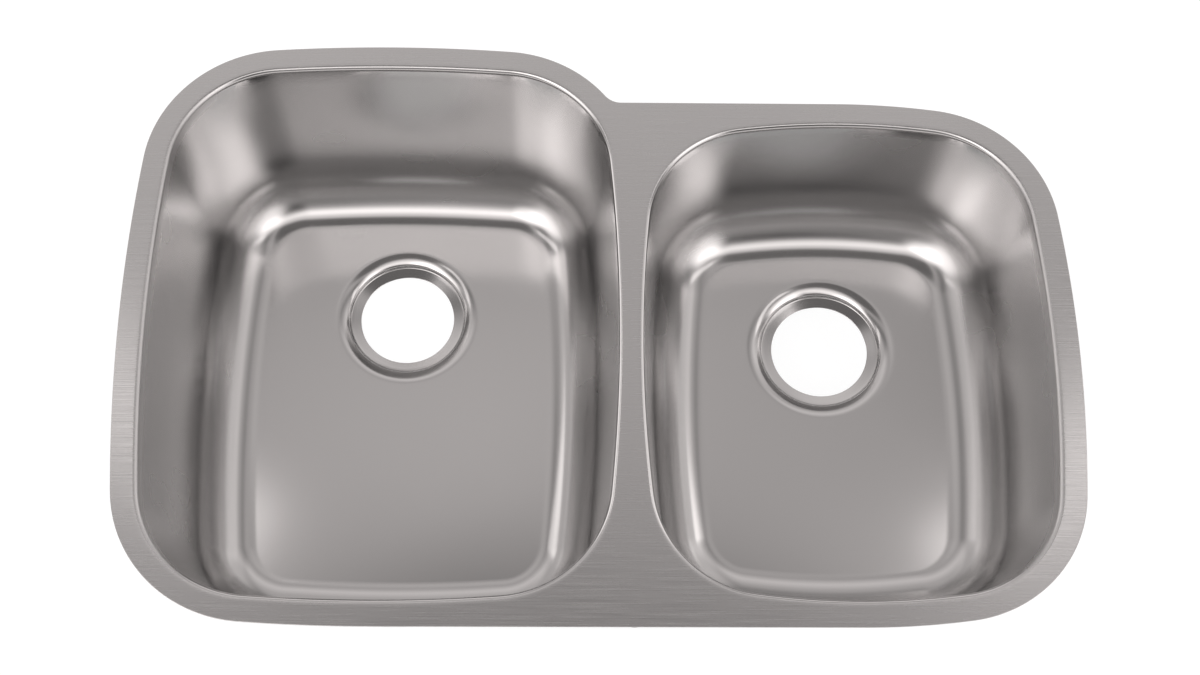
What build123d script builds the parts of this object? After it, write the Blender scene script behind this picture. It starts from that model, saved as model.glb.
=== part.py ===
from build123d import *
from dataclasses import dataclass
from math import acos, atan2, cos, degrees, hypot, radians, sin, tan
import os

# Undermount kitchen sink: two drawn steel bowls of unequal size, welded together along a bridge.
# Millimetres and degrees. The origin is on the rim's top plane, on the seam between the two
# bowls, at mid depth. +X runs along the sink to the small bowl, +Y to the back, +Z is up.

# Sheet and rim
sheet = 1.2              # drawn stainless sheet, 18 gauge
rim_width = 22.0         # from a bowl's lip to the outer edge of the rim
bridge_width = 21.0      # between the two lips at the middle of the bridge
lip_roll = 4.5           # radius with which the rim turns down into a bowl
notch_radius = 18.0      # inner corner of the outline, where the shallower bowl stops short
cove_radius = 46.0       # between the walls and the floor

# Large bowl, on the left
large_width = 394.0      # across the lips, at the middle
large_depth = 477.0      # front to back, at the middle
large_side_bow = 18.7    # rise of the left and right lips over the full depth
large_end_bow = 13.8     # rise of the front and back lips over the full width
large_corner = 96.0      # corner radius of the lip
large_floor = 221.0      # rim to floor
large_drain_back = 95.0  # drain behind the middle of the bowl
large_draft = 4.7        # slope of the walls
large_setback = 2.5      # the bowl leans back by this slope, so its front wall slopes more

# Small bowl, on the right, level with the large one at the front
small_width = 341.0
small_depth = 423.0
small_side_bow = 19.0
small_end_bow = 24.0
small_corner = 93.0
small_floor = 168.0
small_drain_back = 70.0
small_draft = 6.0
small_setback = 2.0

# Drain outlet, alike in both bowls
drain_hole_radius = 44.5   # 3 1/2 inch outlet
seat_radius = 57.5         # ledge for the flange of a strainer
seat_slope = 9.0           # fall of that ledge towards the hole
seat_corner = 1.5          # inner radius between the ledge and the recess wall
recess_slope = 70.0        # slope of the recess wall
recess_wall = 2.0          # straight part of that wall
recess_roll = 3.0          # radius of the recess's upper edge
dip_slope = 16.0           # steepest part of the dip in the floor round the recess
dip_roll = 42.0            # radius with which the floor curves down into the dip

# Weld bead under the seam
bead_width = 5.0
bead_height = 1.0

# Rubber pads that deaden the sound, stuck to the outside of the bowls
pad_thickness = 3.0
pad_corner = 14.0
pad_drain_gap = 8.0        # floor pad to the edge of the dip round the drain
large_pad_top = 42.0       # rim to the top of the wall pads
large_pad_height = 112.0
large_end_pad_width = 230.0
large_side_pad_width = 260.0
large_floor_pad_width = 240.0
large_floor_pad_depth = 165.0
small_pad_top = 38.0
small_pad_height = 74.0
small_end_pad_width = 190.0
small_side_pad_width = 200.0
small_floor_pad_width = 190.0
small_floor_pad_depth = 120.0

# Sprayed undercoat on the outside of the bowls
coat_thickness = 0.6
coat_top = 24.0            # rim to the upper edge of the coat
coat_gap = 1.0             # bare strip round each pad and round the drain's dip


@dataclass
class Bowl:
    name: str
    x: float
    y: float
    width: float
    depth: float
    side_bow: float
    end_bow: float
    corner: float
    floor: float
    drain_back: float
    draft: float
    setback: float

    def drain(self):
        return (self.x, self.y + self.drain_back)

    def bow_radius(self, half, bow):
        return (half**2 + bow**2) / (2 * bow)

    def side_radius(self):
        return self.bow_radius(self.depth / 2, self.side_bow)

    def end_radius(self):
        return self.bow_radius(self.width / 2, self.end_bow)

    def corner_centre(self):
        # The corner arc touches the side arc and the end arc from inside, so its centre lies
        # where two circles about their centres cross.
        side_x = self.width / 2 - self.side_radius()
        end_y = self.depth / 2 - self.end_radius()
        from_side = self.side_radius() - self.corner
        from_end = self.end_radius() - self.corner
        apart = hypot(side_x, end_y)
        turn = acos((from_side**2 + apart**2 - from_end**2) / (2 * from_side * apart))
        heading = atan2(end_y, -side_x) + turn
        return (side_x + from_side * cos(heading), from_side * sin(heading))

    def lip(self, grow=0.0):
        # Eight tangent arcs. All keep their centres when the outline grows.
        side_x = self.width / 2 - self.side_radius()
        end_y = self.depth / 2 - self.end_radius()
        corner_x, corner_y = self.corner_centre()
        side_half = degrees(atan2(corner_y, corner_x - side_x))
        end_start = degrees(atan2(corner_y - end_y, corner_x))
        corner_turn = end_start - side_half
        end_turn = 180 - 2 * end_start
        side = self.side_radius() + grow
        end = self.end_radius() + grow
        corner = self.corner + grow
        arcs = [
            CenterArc((side_x, 0), side, -side_half, 2 * side_half),
            CenterArc((corner_x, corner_y), corner, side_half, corner_turn),
            CenterArc((0, end_y), end, end_start, end_turn),
            CenterArc((-corner_x, corner_y), corner, 180 - end_start, corner_turn),
            CenterArc((-side_x, 0), side, 180 - side_half, 2 * side_half),
            CenterArc((-corner_x, -corner_y), corner, 180 + side_half, corner_turn),
            CenterArc((0, -end_y), end, 180 + end_start, end_turn),
            CenterArc((corner_x, -corner_y), corner, 360 - end_start, corner_turn),
        ]
        return make_face(arcs)


front_lip = -large_depth / 2
large = Bowl("large_bowl", -(bridge_width + large_width) / 2, 0.0, large_width, large_depth,
             large_side_bow, large_end_bow, large_corner, large_floor, large_drain_back, large_draft,
             large_setback)
small = Bowl("small_bowl", (bridge_width + small_width) / 2, front_lip + small_depth / 2, small_width,
             small_depth, small_side_bow, small_end_bow, small_corner, small_floor, small_drain_back,
             small_draft, small_setback)
bowls = [large, small]


def dip_edge_radius():
    # Where the level floor starts to dip towards the drain.
    fall, steep, dip = (sin(radians(slope)) for slope in (seat_slope, recess_slope, dip_slope))
    wall_foot = seat_radius + seat_corner * (steep - fall)
    wall_top = wall_foot + recess_wall * cos(radians(recess_slope))
    return wall_top + recess_roll * (steep - dip) + dip_roll * dip


def drain_recess(bowl, grow):
    # The dip and the recess below the floor, turned about the drain's axis. grow thickens them
    # outwards, so the inside and the outside of the sheet come from the same arc centres.
    def up_normal(slope):
        return Vector(-sin(radians(slope)), cos(radians(slope)))

    def arc(centre, radius, first, last):
        points = [centre + up_normal(slope) * radius for slope in (first, (first + last) / 2, last)]
        return ThreePointArc(*points)

    down_wall = Vector(-cos(radians(recess_slope)), -sin(radians(recess_slope)))
    dip_centre = Vector(dip_edge_radius(), -bowl.floor - dip_roll)
    roll_centre = dip_centre + up_normal(dip_slope) * (dip_roll - recess_roll)
    turn_centre = roll_centre + up_normal(recess_slope) * (recess_roll + seat_corner)
    turn_centre += down_wall * recess_wall
    dip_arc = arc(dip_centre, dip_roll - grow, 0, dip_slope)
    roll_arc = arc(roll_centre, recess_roll - grow, dip_slope, recess_slope)
    turn_arc = arc(turn_centre, -seat_corner - grow, recess_slope, seat_slope)
    wall_line = Line(roll_arc @ 1, turn_arc @ 0)
    ledge = turn_arc @ 1
    axis_z = ledge.Y - ledge.X * tan(radians(seat_slope))
    top_z = -bowl.floor - grow
    seat_line = Line(ledge, (0, axis_z))
    axis_line = Line((0, axis_z), (0, top_z))
    floor_line = Line((0, top_z), dip_arc @ 0)
    profile = make_face([dip_arc, roll_arc, wall_line, turn_arc, seat_line, axis_line, floor_line])
    turned = revolve(Plane.XZ * profile, Axis.Z)
    return Pos(*bowl.drain()) * turned


def basin(bowl, grow):
    # The bowl without its drain, as a solid block: its inside at grow 0, its outside at grow
    # sheet, and so on.
    height = bowl.floor + grow
    block = extrude(bowl.lip(grow / cos(radians(bowl.draft))), height, taper=bowl.draft)
    block = Rot(180, 0, 0) * block
    block = fillet(block.edges().group_by(Axis.Z)[0], cove_radius + grow)
    lean_back = tan(radians(bowl.setback))
    lean = Matrix([[1, 0, 0, 0], [0, 1, -lean_back, 0], [0, 0, 1, 0], [0, 0, 0, 1]])
    block = block.transform_geometry(lean)
    return Pos(bowl.x, bowl.y) * block


def rim_face():
    # Both lips grown by the rim's width, with straight edges where they run side by side. Growing
    # and shrinking the whole outline by the notch radius rounds its one inner corner.
    front = front_lip - rim_width
    back = min(bowl.y + bowl.depth / 2 for bowl in bowls) + rim_width
    span = small.x - large.x
    face = Pos((large.x + small.x) / 2, (front + back) / 2) * Rectangle(span, back - front)
    for bowl in bowls:
        face += Pos(bowl.x, bowl.y) * bowl.lip(rim_width)
    grown = offset(face, notch_radius, kind=Kind.ARC)
    return offset(grown, -notch_radius, kind=Kind.ARC)


def level_face(solid, z):
    # The horizontal face nearest to that height.
    return solid.faces().filter_by(Plane.XY).sort_by(lambda face: abs(face.center().Z - z))[0]


def pressing(bowl, rim_half):
    plate = extrude(rim_half, -sheet)
    body = plate + basin(bowl, sheet) + drain_recess(bowl, sheet)
    underside = level_face(body, -sheet)
    body = fillet(underside.inner_wires()[0].edges(), lip_roll - sheet)
    body -= basin(bowl, 0) + drain_recess(bowl, 0)
    body -= Pos(*bowl.drain()) * Cylinder(drain_hole_radius, 4 * bowl.floor)
    top = level_face(body, 0)
    return fillet(top.inner_wires()[0].edges(), lip_roll)


def weld_bead(rim):
    # A low bead along the seam, under the rim, cut off level with the rim's front and back edges.
    radius = (bead_width**2 / 4 + bead_height**2) / (2 * bead_height)
    reach = 2 * large.depth
    rod = Pos(0, 0, radius - sheet - bead_height) * Rot(90, 0, 0) * Cylinder(radius, reach)
    below_rim = Pos(0, 0, -sheet) * extrude(rim, -bead_height)
    return rod & below_rim


@dataclass
class PadPlace:
    name: str
    plane: Plane
    width: float
    height: float

    def reach(self, bowl, grow=0.0):
        # Everything straight out from the pad's outline, grown sideways by grow.
        outline = RectangleRounded(self.width + 2 * grow, self.height + 2 * grow, pad_corner + grow)
        return extrude(self.plane * outline, bowl.width + bowl.depth)


def pad_places(bowl, top, height, end_width, side_width, floor_width, floor_depth):
    middle_z = -top - height / 2
    centre = (bowl.x, bowl.y, middle_z)
    floor_y = bowl.y + bowl.drain_back - dip_edge_radius() - pad_drain_gap - floor_depth / 2
    floor_centre = (bowl.x, floor_y, -bowl.floor / 2)
    return [
        PadPlace("front_pad", Plane(centre, x_dir=(1, 0, 0), z_dir=(0, -1, 0)), end_width, height),
        PadPlace("back_pad", Plane(centre, x_dir=(1, 0, 0), z_dir=(0, 1, 0)), end_width, height),
        PadPlace("left_pad", Plane(centre, x_dir=(0, 1, 0), z_dir=(-1, 0, 0)), side_width, height),
        PadPlace("right_pad", Plane(centre, x_dir=(0, 1, 0), z_dir=(1, 0, 0)), side_width, height),
        PadPlace("floor_pad", Plane(floor_centre, x_dir=(1, 0, 0), z_dir=(0, 0, -1)),
                 floor_width, floor_depth),
    ]


def pad(bowl, place):
    layer = place.reach(bowl) & basin(bowl, sheet + pad_thickness)
    return layer - basin(bowl, sheet)


def undercoat(bowl, places):
    below = Pos(bowl.x, bowl.y, -coat_top) * Box(2 * bowl.width, 2 * bowl.depth, 2 * bowl.floor,
                                                 align=(Align.CENTER, Align.CENTER, Align.MAX))
    coat = (below & basin(bowl, sheet + coat_thickness)) - basin(bowl, sheet)
    for place in places:
        coat -= place.reach(bowl, coat_gap)
    around_drain = dip_edge_radius() + coat_gap
    return coat - Pos(*bowl.drain()) * Cylinder(around_drain, 4 * bowl.floor)


large_pads = pad_places(large, large_pad_top, large_pad_height, large_end_pad_width,
                        large_side_pad_width, large_floor_pad_width, large_floor_pad_depth)
small_pads = pad_places(small, small_pad_top, small_pad_height, small_end_pad_width,
                        small_side_pad_width, small_floor_pad_width, small_floor_pad_depth)

rim = rim_face()
rim_reach = 4 * (large.width + small.width)
left_side = Pos(-rim_reach / 2, 0) * Rectangle(rim_reach, rim_reach)
right_side = Pos(rim_reach / 2, 0) * Rectangle(rim_reach, rim_reach)

nodes = {
    "large_bowl": pressing(large, rim & left_side),
    "small_bowl": pressing(small, rim & right_side),
    "bridge_weld": weld_bead(rim),
}
for bowl, places in ((large, large_pads), (small, small_pads)):
    nodes[f"{bowl.name}_undercoat"] = undercoat(bowl, places)
    for place in places:
        nodes[f"{bowl.name}_{place.name}"] = pad(bowl, place)

os.makedirs("parts", exist_ok=True)
for name, solid in nodes.items():
    export_step(solid, f"parts/{name}.step")
    print(name, round(solid.volume), "mm3", solid.bounding_box().size)
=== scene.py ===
# %% [markdown]
# # A double-bowl kitchen sink in pressed steel
# The sink is two pressings of thin stainless sheet, one deep and one shallower, welded side by
# side along a narrow bridge. Outside, rubber pads and a sprayed coat deaden the sound of water.
# This lesson starts from a finished CAD model of the sink, which sits in the scene as a fixed
# frame. Each step either models a piece with Blender's mesh operators, so that polished steel
# gets smooth curves to reflect in, or keeps the CAD piece and gives it a finish.

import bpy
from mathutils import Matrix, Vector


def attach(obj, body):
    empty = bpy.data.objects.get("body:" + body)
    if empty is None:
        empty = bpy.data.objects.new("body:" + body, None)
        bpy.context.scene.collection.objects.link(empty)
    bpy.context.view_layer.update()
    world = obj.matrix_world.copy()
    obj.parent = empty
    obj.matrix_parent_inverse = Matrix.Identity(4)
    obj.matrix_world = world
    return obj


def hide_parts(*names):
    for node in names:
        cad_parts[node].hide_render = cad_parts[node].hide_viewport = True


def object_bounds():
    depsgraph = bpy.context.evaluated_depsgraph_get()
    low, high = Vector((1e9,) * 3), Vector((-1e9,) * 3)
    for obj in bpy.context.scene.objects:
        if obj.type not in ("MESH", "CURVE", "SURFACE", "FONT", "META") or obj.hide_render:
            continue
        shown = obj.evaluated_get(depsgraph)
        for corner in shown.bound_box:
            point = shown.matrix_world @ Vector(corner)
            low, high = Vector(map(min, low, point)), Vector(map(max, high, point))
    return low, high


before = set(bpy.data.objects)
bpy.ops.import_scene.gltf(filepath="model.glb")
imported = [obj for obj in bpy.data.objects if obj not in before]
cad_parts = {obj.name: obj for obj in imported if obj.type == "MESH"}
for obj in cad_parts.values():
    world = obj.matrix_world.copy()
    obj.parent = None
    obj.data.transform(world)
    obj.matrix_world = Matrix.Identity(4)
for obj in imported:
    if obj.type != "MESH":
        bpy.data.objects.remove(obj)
cad_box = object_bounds()
print("frame:", len(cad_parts), "CAD nodes, box", [tuple(round(c, 4) for c in p) for p in cad_box])

# %% Blender modules
from dataclasses import dataclass
from math import acos, atan2, cos, degrees, hypot, pi, radians, sin, sqrt, tan

import bmesh
import bpy
from mathutils import Matrix, Quaternion, Vector

scene = bpy.context.scene
scene.view_settings.view_transform = "Standard"
UP = Vector((0, 0, 1))
MM = 0.001

# %% [markdown]
# ## The camera
# The picture is taken from high in front, a little to the left, with a lens a bit longer than
# normal. A camera could be pointed with a Track To constraint, but a quaternion built from the
# viewing direction does the same with nothing left live in the file. The last turn about the
# viewing axis is the small tilt of the picture itself.

# %% Camera
IMAGE_WIDTH = 1200
FOCAL_PIXELS = 1875.93
SENSOR_WIDTH = 36
ELEVATION = radians(67.749)
YAW = radians(-2.680)
ROLL = radians(2.760)
TARGET = Vector((-0.026474, -0.016052, 0))
DISTANCE = 1.55897

backward = Vector((sin(YAW) * cos(ELEVATION), -cos(YAW) * cos(ELEVATION), sin(ELEVATION)))
camera_data = bpy.data.cameras.new("photo_camera")
camera_data.sensor_width = SENSOR_WIDTH
camera_data.lens = FOCAL_PIXELS * SENSOR_WIDTH / IMAGE_WIDTH
camera = bpy.data.objects.new("photo_camera", camera_data)
scene.collection.objects.link(camera)
camera.location = TARGET + backward * DISTANCE
camera.rotation_mode = "QUATERNION"
camera.rotation_quaternion = (-backward).to_track_quat("-Z", "Y") @ Quaternion((0, 0, 1), ROLL)
scene.camera = camera
print("camera at", tuple(round(c, 3) for c in camera.location), "lens", round(camera_data.lens, 2))

# %% [markdown]
# ## The sizes of the pressings
# Every length here is a size of the real sink, in metres. A bowl's lip, seen from above, is a
# rounded rectangle whose four sides bulge a little: eight arcs that run smoothly into each other.
# The bulge is given as the rise of a side over its full length, which is easy to measure, and
# the radius of the arc follows from it. The centre of a corner arc lies where two circles cross,
# because the corner touches both of its neighbours from inside.

# %% Sizes
SHEET = 1.2 * MM
RIM_WIDTH = 22 * MM
BRIDGE_WIDTH = 21 * MM
LIP_ROLL = 4.5 * MM
NOTCH_RADIUS = 18 * MM
COVE_RADIUS = 46 * MM


@dataclass
class Bowl:
    """A bowl's lip, seen from above, and how its wall, floor and drain lie below it."""

    name: str
    x: float
    y: float
    width: float
    depth: float
    side_bow: float
    end_bow: float
    corner: float
    floor: float
    drain_back: float
    draft: float
    setback: float

    def __post_init__(self):
        half_width, half_depth = self.width / 2, self.depth / 2
        self.side_radius = (half_depth**2 + self.side_bow**2) / (2 * self.side_bow)
        self.end_radius = (half_width**2 + self.end_bow**2) / (2 * self.end_bow)
        self.side_x = half_width - self.side_radius
        self.end_y = half_depth - self.end_radius
        from_side = self.side_radius - self.corner
        from_end = self.end_radius - self.corner
        apart = hypot(self.side_x, self.end_y)
        opening = acos((from_side**2 + apart**2 - from_end**2) / (2 * from_side * apart))
        heading = atan2(self.end_y, -self.side_x) + opening
        self.corner_x = self.side_x + from_side * cos(heading)
        self.corner_y = from_side * sin(heading)
        self.side_half = atan2(self.corner_y, self.corner_x - self.side_x)
        self.end_half = atan2(self.corner_x, self.corner_y - self.end_y)
        self.corner_turn = pi / 2 - self.side_half - self.end_half

    def at(self, x, y, z=0.0):
        return Vector((self.x + x, self.y + y, z))


LARGE_WIDTH, LARGE_DEPTH = 394 * MM, 477 * MM
SMALL_WIDTH, SMALL_DEPTH = 341 * MM, 423 * MM
large = Bowl(
    "large_bowl", x=-(BRIDGE_WIDTH + LARGE_WIDTH) / 2, y=0, width=LARGE_WIDTH, depth=LARGE_DEPTH,
    side_bow=18.7 * MM, end_bow=13.8 * MM, corner=96 * MM, floor=221 * MM, drain_back=95 * MM,
    draft=radians(4.7), setback=radians(2.5),
)
small = Bowl(
    "small_bowl", x=(BRIDGE_WIDTH + SMALL_WIDTH) / 2, y=(SMALL_DEPTH - LARGE_DEPTH) / 2,
    width=SMALL_WIDTH, depth=SMALL_DEPTH, side_bow=19 * MM, end_bow=24 * MM, corner=93 * MM,
    floor=168 * MM, drain_back=70 * MM, draft=radians(6), setback=radians(2),
)
FRONT_EDGE = -LARGE_DEPTH / 2 - RIM_WIDTH
BACK_EDGE = small.y + SMALL_DEPTH / 2 + RIM_WIDTH
for bowl in (large, small):
    print(bowl.name, "corner arc turns", round(degrees(bowl.corner_turn), 1), "degrees")

# %% [markdown]
# ## Drawing with a travelling point
# A pressing's cross-section is made of straight runs and arcs. One vertex can draw it: extruding
# the vertex leaves a straight edge behind, and spinning it leaves an arc. The same two moves draw
# the outer edge of the rim seen from above. Curves would do it too, but drawn this way the line
# is already part of the mesh that it will become.

# %% Two drawing moves


def run_to(bm, point, goal, pieces=1):
    """Extrudes a vertex straight to a place, in equal pieces, and returns the new end."""
    step = (Vector(goal) - point.co) / pieces
    for _ in range(pieces):
        point = bmesh.ops.extrude_vert_indiv(bm, verts=[point])["verts"][0]
        bmesh.ops.translate(bm, verts=[point], vec=step)
    return point


def turn_about(bm, point, centre, axis, angle, steps):
    """Spins a vertex along an arc and returns the new end."""
    spun = bmesh.ops.spin(bm, geom=[point], cent=centre, axis=axis, angle=angle, steps=steps)
    return next(g for g in spun["geom_last"] if isinstance(g, bmesh.types.BMVert))


# %% [markdown]
# ## The bowl wall
# From the rim inwards the sheet rolls over the lip, runs down the slightly sloping wall, and
# turns through a wide cove into the floor. All eight arcs of the lip share this one section,
# so the section is drawn once and then spun about each arc's centre in turn, the end of one
# spin being the start of the next. A narrow level strip at either end keeps the smooth shading
# of the curves from leaking into the flat rim and floor. Last, a shear leans the whole bowl back a
# little, so that its front wall slopes more than its back one.

# %% Wall section and sweep
LEVEL_STRIP = 2 * MM
MERGE_DISTANCE = 0.01 * MM
ROLL_STEPS, WALL_PIECES, COVE_STEPS = 12, 8, 26
SIDE_STEPS, END_STEPS, CORNER_STEPS = 24, 20, 34
Y_AXIS = Vector((0, 1, 0))


def wall_section(bm, bowl):
    """Draws the section in the XZ plane, with the lip line at x = 0 and outwards as +X."""
    down = pi / 2 - bowl.draft
    lip_run = LIP_ROLL * tan(down / 2)
    cove_in = bowl.floor * tan(bowl.draft) + COVE_RADIUS * tan(down / 2)
    cove_centre = Vector((-cove_in, 0, COVE_RADIUS - bowl.floor))
    wall_end = cove_centre + COVE_RADIUS * Vector((cos(bowl.draft), 0, -sin(bowl.draft)))
    point = bm.verts.new((lip_run + LEVEL_STRIP, 0, 0))
    point = run_to(bm, point, (lip_run, 0, 0))
    point = turn_about(bm, point, (lip_run, 0, -LIP_ROLL), Y_AXIS, -down, ROLL_STEPS)
    point = run_to(bm, point, wall_end, WALL_PIECES)
    point = turn_about(bm, point, cove_centre, Y_AXIS, down, COVE_STEPS)
    run_to(bm, point, point.co - Vector((LEVEL_STRIP, 0, 0)))


def sweep_wall(bm, bowl):
    """Carries the section round the lip, anticlockwise from the front of the right side."""
    wall_section(bm, bowl)
    section = bm.verts[:] + bm.edges[:]
    start = Matrix.Rotation(-bowl.side_half, 4, "Z") @ Matrix.Translation((bowl.side_radius, 0, 0))
    to_side = Matrix.Translation(bowl.at(bowl.side_x, 0))
    bmesh.ops.transform(bm, verts=bm.verts[:], matrix=to_side @ start)
    side_turn, end_turn = 2 * bowl.side_half, 2 * bowl.end_half
    arcs = [
        (bowl.side_x, 0, side_turn, SIDE_STEPS),
        (bowl.corner_x, bowl.corner_y, bowl.corner_turn, CORNER_STEPS),
        (0, bowl.end_y, end_turn, END_STEPS),
        (-bowl.corner_x, bowl.corner_y, bowl.corner_turn, CORNER_STEPS),
        (-bowl.side_x, 0, side_turn, SIDE_STEPS),
        (-bowl.corner_x, -bowl.corner_y, bowl.corner_turn, CORNER_STEPS),
        (0, -bowl.end_y, end_turn, END_STEPS),
        (bowl.corner_x, -bowl.corner_y, bowl.corner_turn, CORNER_STEPS),
    ]
    for x, y, turn, steps in arcs:
        spun = bmesh.ops.spin(bm, geom=section, cent=bowl.at(x, y), axis=UP, angle=turn, steps=steps)
        section = spun["geom_last"]
    bmesh.ops.remove_doubles(bm, verts=bm.verts[:], dist=MERGE_DISTANCE)
    lean = Matrix.Shear("XY", 4, (0, -tan(bowl.setback)))
    bmesh.ops.transform(bm, verts=bm.verts[:], matrix=lean)
    print(bowl.name, "wall swept round", len(arcs), "arcs,", len(bm.faces), "faces")


# %% [markdown]
# ## The drain outlet
# Round the drain the floor dips like a shallow dish, so that the last water runs off. The dish
# ends in a steep little wall. Below that a ring-shaped ledge, where the flange of a strainer will
# sit, falls gently to the open hole. This is a turned shape, so its section is drawn in the same
# way as the wall's and spun once round the drain's axis.

# %% Drain section and spin
HOLE_RADIUS = 44.5 * MM
SEAT_RADIUS = 53.5 * MM
SEAT_SLOPE = radians(9)
SEAT_CORNER = 1.5 * MM
RECESS_SLOPE = radians(70)
RECESS_WALL = 1.425 * MM
RECESS_ROLL = 3 * MM
DIP_SLOPE = radians(26)
DIP_ROLL = 29 * MM
DRAIN_STEPS = 112
DIP_STEPS, EDGE_STEPS, SEAT_PIECES = 12, 8, 3


def slope_normal(slope):
    """What points straight up from a surface that falls towards the drain's axis by a slope."""
    return Vector((-sin(slope), 0, cos(slope)))


def spin_drain(bm, bowl):
    """Adds the dip, the recess and its ledge as one open ring of faces that starts at the floor."""
    floor_middle = bowl.at(0, bowl.drain_back, -bowl.floor)
    fall, steep, dip = sin(SEAT_SLOPE), sin(RECESS_SLOPE), sin(DIP_SLOPE)
    wall_run = Vector((cos(RECESS_SLOPE), 0, sin(RECESS_SLOPE))) * RECESS_WALL
    edge = (SEAT_RADIUS + SEAT_CORNER * (steep - fall) + wall_run.x
            + RECESS_ROLL * (steep - dip) + DIP_ROLL * dip)
    before = set(bm.verts)
    point = bm.verts.new(floor_middle + Vector((edge + LEVEL_STRIP, 0, 0)))
    point = run_to(bm, point, floor_middle + Vector((edge, 0, 0)))
    point = turn_about(bm, point, point.co - UP * DIP_ROLL, Y_AXIS, -DIP_SLOPE, DIP_STEPS)
    roll_centre = point.co - slope_normal(DIP_SLOPE) * RECESS_ROLL
    point = turn_about(bm, point, roll_centre, Y_AXIS, DIP_SLOPE - RECESS_SLOPE, EDGE_STEPS)
    point = run_to(bm, point, point.co - wall_run)
    turn_centre = point.co + slope_normal(RECESS_SLOPE) * SEAT_CORNER
    point = turn_about(bm, point, turn_centre, Y_AXIS, RECESS_SLOPE - SEAT_SLOPE, EDGE_STEPS)
    seat = SEAT_RADIUS - HOLE_RADIUS
    point = run_to(bm, point, point.co - Vector((seat, 0, seat * tan(SEAT_SLOPE))), SEAT_PIECES)
    print(bowl.name, "dips from radius", round(edge / MM, 2), "mm, hole at", round(point.co.z / MM, 2))
    drawn = [v for v in bm.verts if v not in before]
    section = drawn + list({e for v in drawn for e in v.link_edges})
    bmesh.ops.spin(bm, geom=section, cent=floor_middle, axis=UP, angle=2 * pi, steps=DRAIN_STEPS,
                   use_merge=True)


# %% [markdown]
# ## The rim's outer edge
# The two rims are cut so that they meet on the seam. Outside, each follows its bowl's lip at a
# constant width, which means the same arc centres with larger radii. Along the front the edges
# run straight on to the seam. At the back the shallower bowl stops short, and a small hollow
# corner joins its straight back edge to the larger bowl's rounded corner. The point travels
# along all of this and closes the loop down the seam.

# %% Rim outlines
NOTCH_STEPS = 12
STRAIGHT_PIECES, NOTCH_END_PIECES, SEAM_PIECES = 16, 2, 24


def large_rim(bm):
    """From the front end of the seam clockwise round the large bowl."""
    bowl = large
    notch_y = BACK_EDGE + NOTCH_RADIUS
    from_corner = bowl.corner + RIM_WIDTH + NOTCH_RADIUS
    rise = notch_y - (bowl.y + bowl.corner_y)
    notch_x = bowl.x + bowl.corner_x + sqrt(from_corner**2 - rise**2)
    corner_stop = atan2(rise, sqrt(from_corner**2 - rise**2))
    last_turn = pi / 2 - bowl.end_half - corner_stop
    print("hollow corner about", round(notch_x / MM, 1), round(notch_y / MM, 1), "mm")
    home = point = bm.verts.new((0, FRONT_EDGE, 0))
    point = run_to(bm, point, (bowl.x, FRONT_EDGE, 0), STRAIGHT_PIECES)
    for x, y, turn, steps in (
        (0, -bowl.end_y, bowl.end_half, END_STEPS),
        (-bowl.corner_x, -bowl.corner_y, bowl.corner_turn, CORNER_STEPS),
        (-bowl.side_x, 0, 2 * bowl.side_half, SIDE_STEPS),
        (-bowl.corner_x, bowl.corner_y, bowl.corner_turn, CORNER_STEPS),
        (0, bowl.end_y, 2 * bowl.end_half, 2 * END_STEPS),
        (bowl.corner_x, bowl.corner_y, last_turn, CORNER_STEPS),
    ):
        point = turn_about(bm, point, bowl.at(x, y), UP, -turn, steps)
    point = turn_about(bm, point, (notch_x, notch_y, 0), UP, pi / 2 - corner_stop, NOTCH_STEPS)
    point = run_to(bm, point, (0, BACK_EDGE, 0), NOTCH_END_PIECES)
    run_to(bm, point, home.co, SEAM_PIECES)


def small_rim(bm):
    """From the front end of the seam anticlockwise round the small bowl."""
    bowl = small
    home = point = bm.verts.new((0, FRONT_EDGE, 0))
    point = run_to(bm, point, (bowl.x, FRONT_EDGE, 0), STRAIGHT_PIECES)
    for x, y, turn, steps in (
        (0, -bowl.end_y, bowl.end_half, END_STEPS),
        (bowl.corner_x, -bowl.corner_y, bowl.corner_turn, CORNER_STEPS),
        (bowl.side_x, 0, 2 * bowl.side_half, SIDE_STEPS),
        (bowl.corner_x, bowl.corner_y, bowl.corner_turn, CORNER_STEPS),
        (0, bowl.end_y, bowl.end_half, END_STEPS),
    ):
        point = turn_about(bm, point, bowl.at(x, y), UP, turn, steps)
    point = run_to(bm, point, (0, BACK_EDGE, 0), STRAIGHT_PIECES)
    run_to(bm, point, home.co, SEAM_PIECES)


# %% [markdown]
# ## From surface to sheet metal
# Wall, drain and rim outline are still separate. The level floor and the level rim lie between
# closed loops of edges, and a triangle fill closes each of them around its hole. With every
# face turned to look upwards, Solidify gives the sheet its thickness on the hidden side, so the
# shape that shows stays exact. The cut edges get a hairline bevel, because no real sheet edge is
# a knife, except along the seam, where the weld is ground flush and the two rims read as one.

# %% Edges and shading
LEVEL_TOLERANCE = 0.001 * MM


def level_edges(bm, z):
    """Edges with less than two faces that lie level at a height."""
    return [e for e in bm.edges
            if len(e.link_faces) < 2 and all(abs(v.co.z - z) < LEVEL_TOLERANCE for v in e.verts)]


def sharp_edges(bm, angle):
    """Edges where two faces meet at more than an angle."""
    return [e for e in bm.edges if len(e.link_faces) == 2 and e.calc_face_angle() > angle]


def round_edges(bm, edges, width, segments):
    bmesh.ops.bevel(bm, geom=edges, offset=width, offset_type="OFFSET", affect="EDGES",
                    segments=segments, profile=0.5, material=-1, clamp_overlap=True)


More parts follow.
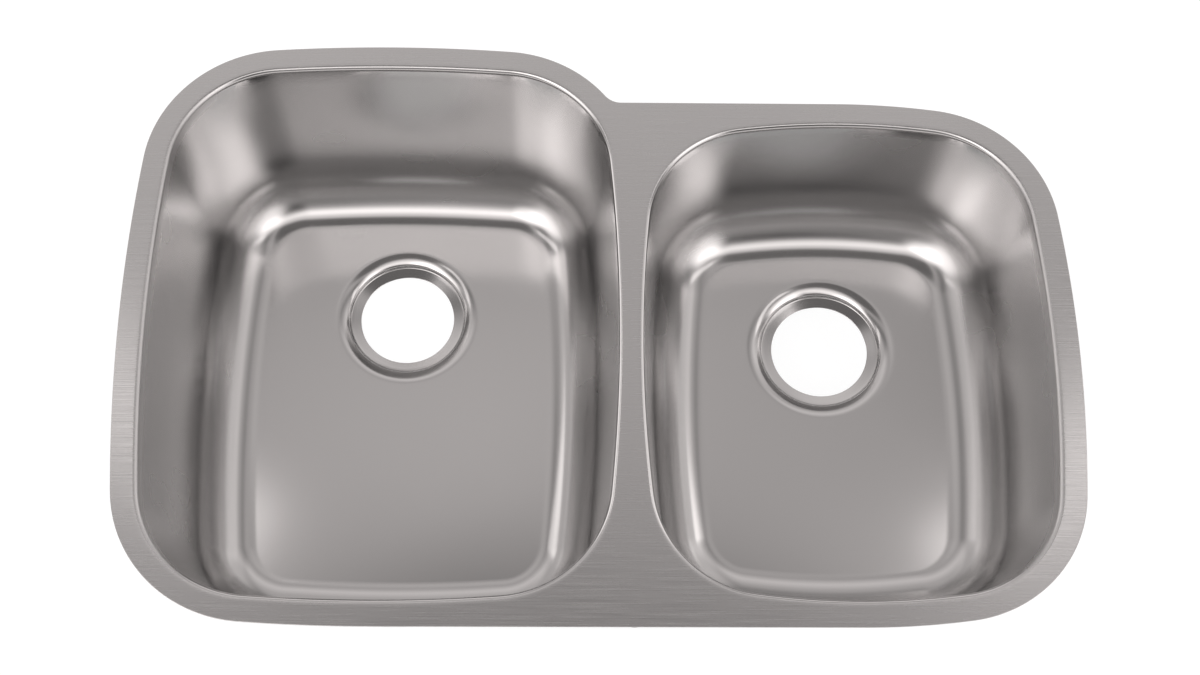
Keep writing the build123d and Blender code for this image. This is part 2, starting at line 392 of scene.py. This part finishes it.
def shade_smooth(bm, limit):
    """Smooth shading, except across edges that turn by a limit or more."""
    for face in bm.faces:
        face.smooth = True
    for edge in bm.edges:
        edge.smooth = len(edge.link_faces) == 2 and edge.calc_face_angle() < limit


# %% Build both pressings
CUT_BEVEL, CUT_SEGMENTS = 0.3 * MM, 2
CUT_ANGLE = radians(60)
SHARP_ANGLE = radians(20)


def new_piece(name, bm):
    """Turns a bmesh into an object at the origin that rides with the sink."""
    mesh = bpy.data.meshes.new(name)
    bm.to_mesh(mesh)
    bm.free()
    piece = bpy.data.objects.new(name, mesh)
    scene.collection.objects.link(piece)
    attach(piece, "root")
    print(name, len(mesh.polygons), "faces")
    return piece


def press_bowl(bowl, draw_rim):
    """One pressing with its share of the rim, in place of the CAD node of the same bowl."""
    bm = bmesh.new()
    sweep_wall(bm, bowl)
    spin_drain(bm, bowl)
    draw_rim(bm)
    bmesh.ops.remove_doubles(bm, verts=bm.verts[:], dist=MERGE_DISTANCE)
    for z in (0, -bowl.floor):
        bmesh.ops.triangle_fill(bm, edges=level_edges(bm, z), normal=UP, use_beauty=True)
    bmesh.ops.recalc_face_normals(bm, faces=bm.faces[:])
    level = max(bm.faces, key=lambda f: abs(f.normal.z) * f.calc_area())
    if level.normal.z < 0:
        bmesh.ops.reverse_faces(bm, faces=bm.faces[:])
    bmesh.ops.solidify(bm, geom=bm.faces[:], thickness=SHEET)
    off_seam = [e for e in sharp_edges(bm, CUT_ANGLE)
                if any(abs(v.co.x) > MERGE_DISTANCE for v in e.verts)]
    round_edges(bm, off_seam, CUT_BEVEL, CUT_SEGMENTS)
    shade_smooth(bm, SHARP_ANGLE)
    piece = new_piece(f"{bowl.name}_pressing", bm)
    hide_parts(bowl.name)
    return piece


pressings = [press_bowl(large, large_rim), press_bowl(small, small_rim)]

# %% [markdown]
# ## Helpers for finishes
# A material is a small graph of nodes. Four helpers keep that graph readable: one places a node,
# sets its plain values and connects whatever other nodes feed it, one starts a material and hands
# back its Principled shader, one blends two colours, and one spreads a noise pattern between two
# values. Nodes could be wired one line at a time, but the finish would be lost among the links.

# %% Node helpers
NOISE_LOW, NOISE_HIGH = 0.3, 0.7


def place(tree, kind, settings=None, **inputs):
    """Adds a node. An input is a plain value, or an output socket that is linked to it."""
    made = tree.nodes.new(kind)
    for name, value in (settings or {}).items():
        setattr(made, name, value)
    for name, value in inputs.items():
        socket = made.inputs[int(name[1:]) if name[0] == "_" else name.replace("_", " ")]
        if isinstance(value, bpy.types.NodeSocket):
            tree.links.new(value, socket)
        else:
            socket.default_value = value
    return made


def new_material(name):
    material = bpy.data.materials.new(name)
    material.use_nodes = True
    tree = material.node_tree
    return material, tree, tree.nodes["Principled BSDF"]


def blend_colours(tree, factor, first, second):
    """A colour that goes from first to second as the factor rises."""
    mix = place(tree, "ShaderNodeMix", {"data_type": "RGBA"}, _0=factor,
                _6=(*first, 1), _7=(*second, 1))
    return mix.outputs[2]


def remap(tree, value, low, high):
    """Spreads the middle of a noise pattern between two values."""
    return place(tree, "ShaderNodeMapRange", Value=value, From_Min=NOISE_LOW, From_Max=NOISE_HIGH,
                 To_Min=low, To_Max=high).outputs[0]


# %% [markdown]
# ## Grain of the steel
# Sheet for sinks is brushed in the rolling direction, here along X, and the pressing then smears
# that grain. Two patterns carry it: thin lines, which are noise stretched along X, and broad
# clouds where the sheen varies a little. Both steels on this sink use them, so they are built
# once as a node group that only puts out values.

# %% Node group of the steel grain
LINES_PER_METRE = (14, 900, 900)
CLOUDS_PER_METRE = 9.0


def make_grain_group():
    group = bpy.data.node_groups.new("steel_grain", "ShaderNodeTree")
    group.interface.new_socket("Vector", in_out="INPUT", socket_type="NodeSocketVector")
    group.interface.new_socket("Lines", in_out="OUTPUT", socket_type="NodeSocketFloat")
    group.interface.new_socket("Cloud", in_out="OUTPUT", socket_type="NodeSocketFloat")
    start = group.nodes.new("NodeGroupInput").outputs["Vector"]
    end = group.nodes.new("NodeGroupOutput")
    stretched = place(group, "ShaderNodeMapping", Vector=start, Scale=LINES_PER_METRE).outputs[0]
    lines = place(group, "ShaderNodeTexNoise", Vector=stretched, Scale=1.0, Detail=3.0, Roughness=0.6)
    cloud = place(group, "ShaderNodeTexNoise", Vector=start, Scale=CLOUDS_PER_METRE, Detail=2.0,
                  Roughness=0.5)
    group.links.new(lines.outputs[0], end.inputs["Lines"])
    group.links.new(cloud.outputs[0], end.inputs["Cloud"])
    return group


steel_grain = make_grain_group()
print(steel_grain.name, "has", len(steel_grain.nodes), "nodes")

# %% [markdown]
# ## Satin steel
# The whole sink is one metal with three finishes. The floor and the rolled lip are burnished
# almost to a mirror. The walls and coves are satin, so the studio shows in them as broad soft
# bands. The flat rim was brushed after pressing, with fine lines along X. Separate materials
# would leave hard borders on one smooth sheet, so masks over the height blend one finish into the
# next. A mask over X leaves the lip duller at the two outer ends of the sink, where it was buffed
# less. The bowls differ in depth, and one function makes a material for each.

# %% Satin steel
POLISHED_ROUGHNESS = (0.125, 0.15)
SATIN_ROUGHNESS = (0.24, 0.28)
RIM_ROUGHNESS = (0.17, 0.30)
END_LIP_ROUGHNESS = 0.42
STEEL_TINTS = ((0.577, 0.571, 0.569), (0.608, 0.602, 0.600))
SCRATCH_DEPTH, SCRATCH_STRENGTH = 0.3 * MM, 0.07
# Where one finish turns into the next: heights from the rim, heights from the floor, and shares
# of the way from the seam to the outer lip.
LIP_BLEND, RIM_BLEND = (-14 * MM, -6 * MM), (-0.6 * MM, -0.05 * MM)
FLOOR_BLEND = (9 * MM, 2 * MM)
END_BLEND = (0.86, 0.93)


def satin_steel(bowl):
    """Polished, satin and brushed steel in one material for one bowl."""
    material, tree, shader = new_material(f"{bowl.name}_steel")
    shader.inputs["Metallic"].default_value = 1
    where = place(tree, "ShaderNodeTexCoord").outputs["Object"]
    grain = place(tree, "ShaderNodeGroup", {"node_tree": steel_grain}, Vector=where)
    lines, cloud = grain.outputs["Lines"], grain.outputs["Cloud"]
    across, _, height = place(tree, "ShaderNodeSeparateXYZ", Vector=where).outputs

    def between(value, start, end):
        """A mask that goes from 0 to 1 as a value goes from start to end."""
        mask = place(tree, "ShaderNodeMapRange", Value=value, From_Min=start, From_Max=end)
        return mask.outputs[0]

    def shade(factor, first, second):
        return place(tree, "ShaderNodeMix", _0=factor, _2=first, _3=second).outputs[0]

    near_lip = between(height, *LIP_BLEND)
    near_floor = between(height, *(rise - bowl.floor for rise in FLOOR_BLEND))
    on_rim = between(height, *RIM_BLEND)
    end_lip = bowl.x + (bowl.width if bowl.x > 0 else -bowl.width) / 2
    near_end = between(across, *(end_lip * share for share in END_BLEND))
    polished = remap(tree, cloud, *POLISHED_ROUGHNESS)
    in_bowl = shade(near_floor, remap(tree, cloud, *SATIN_ROUGHNESS), polished)
    lip = shade(near_end, polished, END_LIP_ROUGHNESS)
    roughness = shade(on_rim, shade(near_lip, in_bowl, lip), remap(tree, lines, *RIM_ROUGHNESS))
    tree.links.new(roughness, shader.inputs["Roughness"])
    tint = blend_colours(tree, cloud, *STEEL_TINTS)
    tree.links.new(tint, shader.inputs["Base Color"])
    scratches = place(tree, "ShaderNodeMath", {"operation": "MULTIPLY"}, _0=lines, _1=on_rim)
    bump = place(tree, "ShaderNodeBump", Strength=SCRATCH_STRENGTH, Distance=SCRATCH_DEPTH,
                 Height=scratches.outputs[0])
    tree.links.new(bump.outputs[0], shader.inputs["Normal"])
    return material


for bowl, piece in zip((large, small), pressings):
    piece.data.materials.append(satin_steel(bowl))
    print(piece.name, "is now", piece.data.materials[0].name)

# %% [markdown]
# ## Weld under the bridge
# The two rims are joined by a bead that runs along the seam, out of sight below. The CAD model's
# low half-round is the right shape already, so it only gets a finish: a duller steel with the
# small cross ripples that a welding torch leaves, drawn by a wave texture along Y.

# %% Weld steel
RIPPLE_LENGTH, RIPPLE_DEPTH, RIPPLE_STRENGTH = 4 * MM, 0.2 * MM, 0.5
# A wave texture at a scale of 1 repeats over this length.
WAVE_UNIT = 2 * pi / 20
WELD_TINTS = ((0.43, 0.42, 0.41), (0.52, 0.50, 0.48))
WELD_ROUGHNESS = (0.38, 0.5)


def paint_node(name, material):
    """Gives a CAD node a finish and leaves its mesh as it is."""
    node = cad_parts[name]
    node.data.materials.clear()
    node.data.materials.append(material)
    print(name, "is now", material.name)


def weld_steel():
    material, tree, shader = new_material("weld_steel")
    shader.inputs["Metallic"].default_value = 1
    where = place(tree, "ShaderNodeTexCoord").outputs["Object"]
    grain = place(tree, "ShaderNodeGroup", {"node_tree": steel_grain}, Vector=where)
    ripple = place(tree, "ShaderNodeTexWave", {"bands_direction": "Y"}, Vector=where,
                   Scale=WAVE_UNIT / RIPPLE_LENGTH, Distortion=1.5, Detail=2.0)
    tint = blend_colours(tree, grain.outputs["Cloud"], *WELD_TINTS)
    tree.links.new(tint, shader.inputs["Base Color"])
    tree.links.new(remap(tree, grain.outputs["Lines"], *WELD_ROUGHNESS), shader.inputs["Roughness"])
    bump = place(tree, "ShaderNodeBump", Strength=RIPPLE_STRENGTH, Distance=RIPPLE_DEPTH,
                 Height=ripple.outputs["Fac"])
    tree.links.new(bump.outputs[0], shader.inputs["Normal"])
    return material


paint_node("bridge_weld", weld_steel())

# %% [markdown]
# ## Pebbled finishes
# The sprayed coat and the rubber pads both have a fine pebbled skin, one coarser than the other.
# The pattern is a node group with a size in metres, which puts out a height for the bumps and a
# shade for slow changes of tone. Displacing the mesh would show more, but at a fraction of a
# millimetre the bump is all that the eye can see.

# %% Node group of the pebbled skin
SHADES_PER_METRE = 22.0
PEBBLE_STRENGTH = 0.6


def make_pebble_group():
    group = bpy.data.node_groups.new("fine_pebble", "ShaderNodeTree")
    group.interface.new_socket("Vector", in_out="INPUT", socket_type="NodeSocketVector")
    group.interface.new_socket("Pebble Size", in_out="INPUT", socket_type="NodeSocketFloat")
    group.interface.new_socket("Height", in_out="OUTPUT", socket_type="NodeSocketFloat")
    group.interface.new_socket("Shade", in_out="OUTPUT", socket_type="NodeSocketFloat")
    start = group.nodes.new("NodeGroupInput").outputs
    end = group.nodes.new("NodeGroupOutput")
    per_metre = place(group, "ShaderNodeMath", {"operation": "DIVIDE"}, _0=1.0, _1=start["Pebble Size"])
    pebbles = place(group, "ShaderNodeTexNoise", Vector=start["Vector"], Scale=per_metre.outputs[0],
                    Detail=2.0, Roughness=0.45)
    slow = place(group, "ShaderNodeTexNoise", Vector=start["Vector"], Scale=SHADES_PER_METRE,
                 Detail=3.0, Roughness=0.6)
    group.links.new(pebbles.outputs[0], end.inputs["Height"])
    group.links.new(slow.outputs[0], end.inputs["Shade"])
    return group


fine_pebble = make_pebble_group()
print(fine_pebble.name, "has", len(fine_pebble.nodes), "nodes")


def pebbled(name, pebble, depth, dark, light, roughness):
    """A matt material with pebbles of a size and depth and a tone that drifts a little."""
    material, tree, shader = new_material(name)
    where = place(tree, "ShaderNodeTexCoord").outputs["Object"]
    skin = place(tree, "ShaderNodeGroup", {"node_tree": fine_pebble}, Vector=where, Pebble_Size=pebble)
    tree.links.new(blend_colours(tree, skin.outputs["Shade"], dark, light), shader.inputs["Base Color"])
    tree.links.new(remap(tree, skin.outputs["Height"], *roughness), shader.inputs["Roughness"])
    bump = place(tree, "ShaderNodeBump", Strength=PEBBLE_STRENGTH, Distance=depth,
                 Height=skin.outputs["Height"])
    tree.links.new(bump.outputs[0], shader.inputs["Normal"])
    return material


# %% [markdown]
# ## Sprayed undercoat
# A grey coat is sprayed on the outside of both bowls against drips and noise. It is a skin of
# even thickness with neat gaps round the pads, which the CAD model has, so again only the finish
# is new.

# %% Undercoat
undercoat = pebbled("undercoat", pebble=2.6 * MM, depth=0.5 * MM, dark=(0.32, 0.325, 0.33),
                    light=(0.40, 0.405, 0.41), roughness=(0.72, 0.88))
for bowl in (large, small):
    paint_node(f"{bowl.name}_undercoat", undercoat)

# %% [markdown]
# ## Rubber sound pads
# Slabs of dense rubber are stuck flat on the walls and under the floors. They are moulded, so
# their edges are slightly round, where the CAD model has them sharp. Each pad is a copy of its
# CAD mesh: its loose triangles are merged, the flat ones among them dissolved into whole faces,
# and the edges of the slab bevelled.

# %% Rubber pads
PAD_EDGE, PAD_SEGMENTS = 0.8 * MM, 3
PAD_MERGE_DISTANCE = 0.005 * MM
PAD_FLAT_ANGLE = radians(0.2)
PAD_CORNER_ANGLE = radians(40)
PAD_SHARP_ANGLE = radians(35)


def soften_pad(name):
    """A pad with rounded edges, in place of the CAD node of that name."""
    bm = bmesh.new()
    bm.from_mesh(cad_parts[name].data)
    bmesh.ops.remove_doubles(bm, verts=bm.verts[:], dist=PAD_MERGE_DISTANCE)
    bmesh.ops.dissolve_limit(bm, angle_limit=PAD_FLAT_ANGLE, verts=bm.verts[:], edges=bm.edges[:])
    round_edges(bm, sharp_edges(bm, PAD_CORNER_ANGLE), PAD_EDGE, PAD_SEGMENTS)
    shade_smooth(bm, PAD_SHARP_ANGLE)
    pad = new_piece(f"{name}_slab", bm)
    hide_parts(name)
    return pad


rubber = pebbled("pad_rubber", pebble=1.1 * MM, depth=0.15 * MM, dark=(0.030, 0.030, 0.032),
                 light=(0.042, 0.042, 0.044), roughness=(0.55, 0.72))
for bowl in (large, small):
    for side in ("front", "back", "left", "right", "floor"):
        soften_pad(f"{bowl.name}_{side}_pad").data.materials.append(rubber)

# %% [markdown]
# ## The floor
# The sink stands on a wide pale floor. A catalogue picture shows it on plain white, so for rays
# that come straight from the camera the paint is mixed with a white glow, with just enough of
# the lit paint left to keep the sink's shadow. Steel mirrors the floor too, and a full white
# there would shine through the drains onto the walls, so mirrored rays get less of the glow.

# %% Floor
FLOOR_REACH = 6
FLOOR_COLOUR = (0.8, 0.8, 0.8, 1)
FLOOR_ROUGHNESS = 0.9
WHITE_STRENGTH = 1.15
WHITE_SHARE = 0.8
MIRRORED_SHARE = 0.3

bm = bmesh.new()
bmesh.ops.create_grid(bm, x_segments=1, y_segments=1, size=FLOOR_REACH)
bmesh.ops.translate(bm, verts=bm.verts[:], vec=(0, 0, cad_box[0].z))
floor_mesh = bpy.data.meshes.new("studio_floor")
bm.to_mesh(floor_mesh)
bm.free()
floor = bpy.data.objects.new("studio_floor", floor_mesh)
scene.collection.objects.link(floor)
print("floor at", round(cad_box[0].z, 4))


def floor_paint():
    material, tree, shader = new_material("floor_paint")
    shader.inputs["Base Color"].default_value = FLOOR_COLOUR
    shader.inputs["Roughness"].default_value = FLOOR_ROUGHNESS
    path = place(tree, "ShaderNodeLightPath").outputs

    def combine(operation, first, second):
        return place(tree, "ShaderNodeMath", {"operation": operation}, _0=first, _1=second).outputs[0]

    direct = combine("MAXIMUM", path["Is Camera Ray"], path["Is Transmission Ray"])
    mirrored = combine("MULTIPLY", path["Is Glossy Ray"], MIRRORED_SHARE)
    share = combine("MULTIPLY", combine("MAXIMUM", direct, mirrored), WHITE_SHARE)
    white = place(tree, "ShaderNodeEmission", Strength=WHITE_STRENGTH).outputs[0]
    mix = place(tree, "ShaderNodeMixShader", _0=share, _1=shader.outputs[0], _2=white)
    tree.links.new(mix.outputs[0], tree.nodes["Material Output"].inputs["Surface"])
    return material


floor.data.materials.append(floor_paint())

# %% [markdown]
# ## The room
# Polished steel has no look of its own. What shows in the bowls is the room: a dim back, a dark
# gap overhead, and a front that is bright near the ground and again towards the ceiling. A picture
# of a studio wrapped round the scene would do, but a world shader can paint the room from the
# direction alone, and every level in it can be read and changed. One ramp over the height of the
# direction serves the back of the room and one the front.

# %% World
LEVEL_STOPS = (0.0, 0.2, 0.42, 0.65, 0.8, 0.9, 0.94, 0.958, 0.968, 0.985, 1.0)
BACK_LEVELS = (0.35, 0.65, 0.31, 0.30, 0.57, 0.20, 0.46, 0.58, 0.18, 0.17, 0.19)
FRONT_LEVELS = (0.48, 1.15, 0.38, 0.24, 0.45, 1.22, 1.2, 1.05, 1.0, 0.95, 0.22)
FRONT_BEGINS, FRONT_FULL = -0.06, -0.19


def level_ramp(tree, value, levels):
    """A grey that follows a list of levels, one for each stop."""
    ramp = place(tree, "ShaderNodeValToRGB", Fac=value)
    stops = ramp.color_ramp.elements
    while len(stops) < len(levels):
        stops.new(0.5)
    for element, position, level in zip(stops, LEVEL_STOPS, levels):
        element.position = position
        element.color = (level, level, level, 1)
    return ramp.outputs["Color"]


world = bpy.data.worlds.new("studio")
scene.world = world
world.use_nodes = True
tree = world.node_tree
direction = place(tree, "ShaderNodeTexCoord").outputs["Generated"]
parts = place(tree, "ShaderNodeSeparateXYZ", Vector=direction).outputs
back = level_ramp(tree, parts["Z"], BACK_LEVELS)
front = level_ramp(tree, parts["Z"], FRONT_LEVELS)
to_front = place(tree, "ShaderNodeMapRange", Value=parts["Y"], From_Min=FRONT_BEGINS,
                 From_Max=FRONT_FULL).outputs[0]
room = place(tree, "ShaderNodeMix", {"data_type": "RGBA"}, _0=to_front, _6=back, _7=front).outputs[2]
print("room painted with", len(LEVEL_STOPS), "levels at the back and at the front")

# %% [markdown]
# ## Soft glows
# Tall softboxes left and right in front of the sink draw the broad streaks in the corners of the
# bowls. Weaker ones behind and low at the sides light the coves and the lip, and one with a level
# below zero is a dark screen, which leaves the back wall of the deep bowl dim on its left. Area
# lamps would do this with hard edges, which a cove squeezes into thin lines. Painted into the
# room, each can fade out softly: the angle between the direction and the middle of the glow
# decides how much of it is added. All of this light is a trifle warm, and tints the steel alike
# however often it is mirrored. Rays straight from the camera see plain white instead.

# %% Glows
GLOWS = (
    # azimuth clockwise from the back, elevation, even middle, soft edge (all in degrees), level
    (121.5, 37.5, 11, 15, 1.24),
    (113, 54, 6, 12, 0.75),
    (245.5, 38, 10, 16, 1.48),
    (221, 55, 9, 11, 1.15),
    (44, 28, 8, 19, 0.41),
    (308, 23, 4, 30, 0.30),
    (60, 15, 8, 12, 0.70),
    (300, 15, 8, 12, 0.70),
    (0, 10, 8, 12, 0.40),
    (45, 60, 9, 8, 0.12),
    (352, 50, 16, 10, 0.27),
    (61, 42, 5, 9, 0.25),
    (299, 42, 5, 9, 0.06),
    (157, 53, 8, 9, -0.36),
)


def heading(azimuth, elevation):
    """The direction of a place on the sky, with the azimuth clockwise from the back."""
    level = cos(elevation)
    return Vector((sin(azimuth) * level, cos(azimuth) * level, sin(elevation)))


WARM_WHITE = (1.035, 0.987, 0.975)
CAMERA_WHITE = (1, 1, 1, 1)
glow_sum = 0.0
for azimuth, elevation, middle, edge, level in GLOWS:
    aim = heading(radians(azimuth), radians(elevation))
    nearness = place(tree, "ShaderNodeVectorMath", {"operation": "DOT_PRODUCT"}, _0=direction, _1=aim)
    inside = place(tree, "ShaderNodeMapRange", {"interpolation_type": "SMOOTHSTEP"},
                   Value=nearness.outputs["Value"], From_Min=cos(radians(middle + edge)),
                   From_Max=cos(radians(middle))).outputs[0]
    glow_sum = place(tree, "ShaderNodeMath", {"operation": "MULTIPLY_ADD"}, _0=inside, _1=level,
                     _2=glow_sum).outputs[0]
lit_room = place(tree, "ShaderNodeMix", {"data_type": "RGBA", "blend_type": "ADD"}, _0=1.0,
                 _6=room, _7=glow_sum).outputs[2]
warm_room = place(tree, "ShaderNodeMix", {"data_type": "RGBA", "blend_type": "MULTIPLY"}, _0=1.0,
                  _6=lit_room, _7=(*WARM_WHITE, 1)).outputs[2]
camera_ray = place(tree, "ShaderNodeLightPath").outputs["Is Camera Ray"]
seen_room = place(tree, "ShaderNodeMix", {"data_type": "RGBA"}, _0=camera_ray, _6=warm_room,
                  _7=CAMERA_WHITE).outputs[2]
tree.links.new(seen_room, tree.nodes["Background"].inputs["Color"])
print(len(GLOWS), "glows in the room")

# %% [markdown]
# ## Lamps
# A wide panel high in front gives the outside of the bowls a little shape and the floor a soft
# shadow. Two small panels hang close by the ends of the sink, so that little more than the rim
# next to them mirrors them. A lamp is described by how bright its surface is, since that is what
# steel shows, and its power follows from its area.

# %% Lamps
FRONT_TOP_DISTANCE = 2.5


def panel(name, spot, width, height, radiance):
    """A rectangular lamp at a place, turned towards the sink and not seen by the camera itself."""
    data = bpy.data.lights.new(name, "AREA")
    data.shape = "RECTANGLE"
    data.size, data.size_y = width, height
    data.energy = radiance * pi * width * height
    data.color = WARM_WHITE
    lamp = bpy.data.objects.new(name, data)
    scene.collection.objects.link(lamp)
    lamp.location = spot
    lamp.rotation_mode = "QUATERNION"
    lamp.rotation_quaternion = (-Vector(spot)).to_track_quat("-Z", "Y")
    lamp.visible_camera = False
    print(name, "at", tuple(round(c, 2) for c in spot), "with", round(data.energy, 2), "W")


front_top = heading(radians(180), radians(70)) * FRONT_TOP_DISTANCE
panel("front_top_panel", spot=front_top, width=1.8, height=0.6, radiance=0.3)
panel("right_rim_panel", spot=(0.80, 0.28, 1.08), width=0.18, height=0.6, radiance=0.95)
panel("left_rim_panel", spot=(-0.80, 0.38, 1.08), width=0.18, height=0.6, radiance=0.8)
